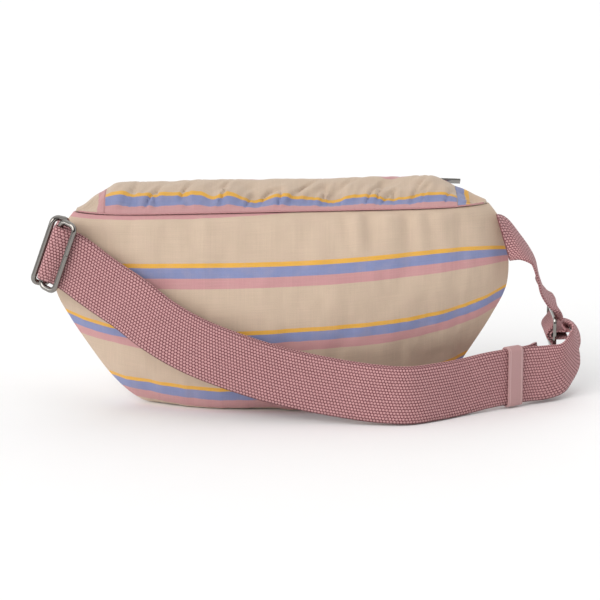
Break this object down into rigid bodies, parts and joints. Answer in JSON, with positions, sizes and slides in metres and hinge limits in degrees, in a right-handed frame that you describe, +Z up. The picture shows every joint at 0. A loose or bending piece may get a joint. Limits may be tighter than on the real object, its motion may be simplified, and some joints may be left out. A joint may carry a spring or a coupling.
{
  "type": "waist pouch",
  "caption": "Striped cotton waist pouch with a zipped top, a pink webbing belt, two belt rings, a slide adjuster and a keeper loop, standing with its belt across its back.",
  "frame": {"origin": "middle of the footprint, on the surface that the pouch stands on", "axes": "+X along the pouch, from the ring end to the adjuster end; -Y the side worn against the body, with the belt over it; +Z up"},
  "size_m": [0.3731, 0.1131, 0.1529],
  "materials": {
    "striped_cotton": "plain-woven cotton, ecru with woven stripes in yellow, slate blue and rose",
    "lining": "plain cotton",
    "zip_tape": "woven tape",
    "zip_coil": "moulded nylon coil",
    "dusty_pink_webbing": "ribbed cotton webbing",
    "keeper_webbing": "smooth flat tape with stitched edges",
    "polished_nickel": "polished nickel plate"
  },
  "bodies": {
    "pouch": {"back_panel": "striped_cotton", "front_panel": "striped_cotton", "lining_back": "lining", "lining_front": "lining", "end_tab_left": "striped_cotton", "end_tab_right": "striped_cotton", "front_gusset": "striped_cotton", "zip_tape_front": "zip_tape", "zip_coil_front": "zip_coil", "zip_stop_closed": "polished_nickel", "zip_stop_open": "polished_nickel", "ring_tab": "dusty_pink_webbing", "waist_strap": "dusty_pink_webbing", "adjuster_frame": "polished_nickel", "adjuster_bar": "polished_nickel"},
    "lid": {"top_gusset": "striped_cotton", "gusset_lining": "lining", "zip_tape_back": "zip_tape", "zip_coil_back": "zip_coil"},
    "slider": {"zip_slider": "polished_nickel"},
    "pull": {"zip_pull": "polished_nickel"},
    "bag_ring": {"bag_ring": "polished_nickel"},
    "strap_ring": {"strap_ring": "polished_nickel"},
    "keeper": {"keeper_loop": "keeper_webbing"}
  },
  "joints": [
    {"name": "lid_hinge", "type": "hinge", "parent": "pouch", "child": "lid", "pos_m": [-0.0203, -0.0119, 0.134], "axis": [0.9998, 0, 0.0212], "range_deg": [0, 60]},
    {"name": "zip_slide", "type": "slide", "parent": "pouch", "child": "slider", "axis": [-0.9997, 0, -0.0224], "range_m": [0, 0.19]},
    {"name": "zip_pull_hinge", "type": "hinge", "parent": "slider", "child": "pull", "pos_m": [0.0773, 0.04057, 0.14604], "axis": [0, -0.8518, 0.5238], "range_deg": [0, 165]},
    {"name": "strap_ring_hinge", "type": "hinge", "parent": "pouch", "child": "strap_ring", "pos_m": [-0.17271, -0.0139, 0.10682], "axis": [-0.3339, 0, -0.9426], "range_deg": [0, 50]},
    {"name": "bag_ring_hinge", "type": "hinge", "parent": "pouch", "child": "bag_ring", "pos_m": [-0.16899, -0.0048, 0.1055], "axis": [-0.3339, 0, -0.9426], "range_deg": [0, 18]},
    {"name": "keeper_slide", "type": "slide", "parent": "pouch", "child": "keeper", "axis": [0.8486, 0.5291, 0], "range_m": [-0.01, 0.006]}
  ]
}
